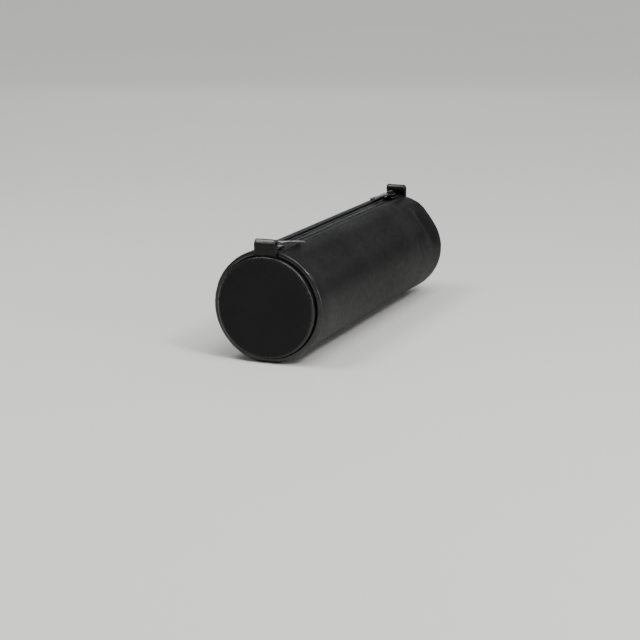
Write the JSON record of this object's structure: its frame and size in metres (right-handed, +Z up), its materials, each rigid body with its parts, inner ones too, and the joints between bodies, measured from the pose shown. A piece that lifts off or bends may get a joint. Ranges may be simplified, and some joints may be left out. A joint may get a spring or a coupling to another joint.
{
  "type": "pen case",
  "caption": "Round zip-up leather roll case for fountain pens, flat end caps set proud of the rim, a pull tab loop at each end and a zip along the top that opens from both ends.",
  "frame": {"origin": "middle of the flat base that the case lies on", "axes": "+X along the case from the near end cap to the far one, +Y to the left side, +Z up through the zip"},
  "size_m": [0.2006, 0.06, 0.0642],
  "materials": {
    "black_leather": "smooth cowhide, fine grain, soft sheen",
    "lining_fabric": "close woven, matte",
    "padding_felt": "felt, matte",
    "fibre_board": "bonded leather board, matte",
    "zip_tape": "twill woven tape",
    "dark_metal": "black nickel plate, satin"
  },
  "bodies": {
    "shell": {"leather_wall": "black_leather", "padding_wall": "padding_felt", "lining_wall": "lining_fabric", "end_cap_near": "black_leather", "end_board_near": "fibre_board", "end_lining_near": "lining_fabric", "rim_strip_near": "fibre_board", "end_tab_near": "black_leather", "zip_stop_near_left": "dark_metal", "zip_stop_near_right": "dark_metal", "end_cap_far": "black_leather", "end_board_far": "fibre_board", "end_lining_far": "lining_fabric", "rim_strip_far": "fibre_board", "end_tab_far": "black_leather", "zip_stop_far_left": "dark_metal", "zip_stop_far_right": "dark_metal", "zip_tape_left": "zip_tape", "zip_tape_right": "zip_tape", "zip_teeth_left": "dark_metal", "zip_teeth_right": "dark_metal"},
    "slider_near": {"slider_near": "dark_metal"},
    "pull_near": {"pull_near": "dark_metal"},
    "flank_near_left": {"leather_flank_near_left": "black_leather", "padding_flank_near_left": "padding_felt", "lining_flank_near_left": "lining_fabric"},
    "flank_near_right": {"leather_flank_near_right": "black_leather", "padding_flank_near_right": "padding_felt", "lining_flank_near_right": "lining_fabric"},
    "slider_far": {"slider_far": "dark_metal"},
    "pull_far": {"pull_far": "dark_metal"},
    "flank_far_left": {"leather_flank_far_left": "black_leather", "padding_flank_far_left": "padding_felt", "lining_flank_far_left": "lining_fabric"},
    "flank_far_right": {"leather_flank_far_right": "black_leather", "padding_flank_far_right": "padding_felt", "lining_flank_far_right": "lining_fabric"}
  },
  "joints": [
    {"name": "zip_near", "type": "slide", "parent": "shell", "child": "slider_near", "axis": [1, 0, 0], "range_m": [0, 0.066], "deforming": ["zip_tape_left", "zip_tape_right", "zip_teeth_left", "zip_teeth_right"]},
    {"name": "pull_near_lift", "type": "hinge", "parent": "slider_near", "child": "pull_near", "pos_m": [-0.0874, 0, 0.06076], "axis": [-0.4695, -0.8829, 0], "range_deg": [0, 110]},
    {"name": "flank_near_left_fold", "type": "hinge", "parent": "shell", "child": "flank_near_left", "pos_m": [0, 0.00802, 0.00009], "axis": [-1, 0, 0], "range_deg": [0, 10]},
    {"name": "flank_near_right_fold", "type": "hinge", "parent": "shell", "child": "flank_near_right", "pos_m": [0, -0.00802, 0.00009], "axis": [1, 0, 0], "range_deg": [0, 10]},
    {"name": "zip_far", "type": "slide", "parent": "shell", "child": "slider_far", "axis": [-1, 0, 0], "range_m": [0, 0.066], "deforming": ["zip_tape_left", "zip_tape_right", "zip_teeth_left", "zip_teeth_right"]},
    {"name": "pull_far_lift", "type": "hinge", "parent": "slider_far", "child": "pull_far", "pos_m": [0.0874, 0, 0.06076], "axis": [0.2588, 0.9659, 0], "range_deg": [0, 110]},
    {"name": "flank_far_left_fold", "type": "hinge", "parent": "shell", "child": "flank_far_left", "pos_m": [0, 0.00802, 0.00009], "axis": [-1, 0, 0], "range_deg": [0, 10]},
    {"name": "flank_far_right_fold", "type": "hinge", "parent": "shell", "child": "flank_far_right", "pos_m": [0, -0.00802, 0.00009], "axis": [1, 0, 0], "range_deg": [0, 10]}
  ],
  "couplings": [
    {"joint": "flank_near_left_fold", "follows": "zip_near", "rad_per_m": 2.6444},
    {"joint": "flank_near_right_fold", "follows": "zip_near", "rad_per_m": 2.6444},
    {"joint": "flank_far_left_fold", "follows": "zip_far", "rad_per_m": 2.6444},
    {"joint": "flank_far_right_fold", "follows": "zip_far", "rad_per_m": 2.6444}
  ]
}
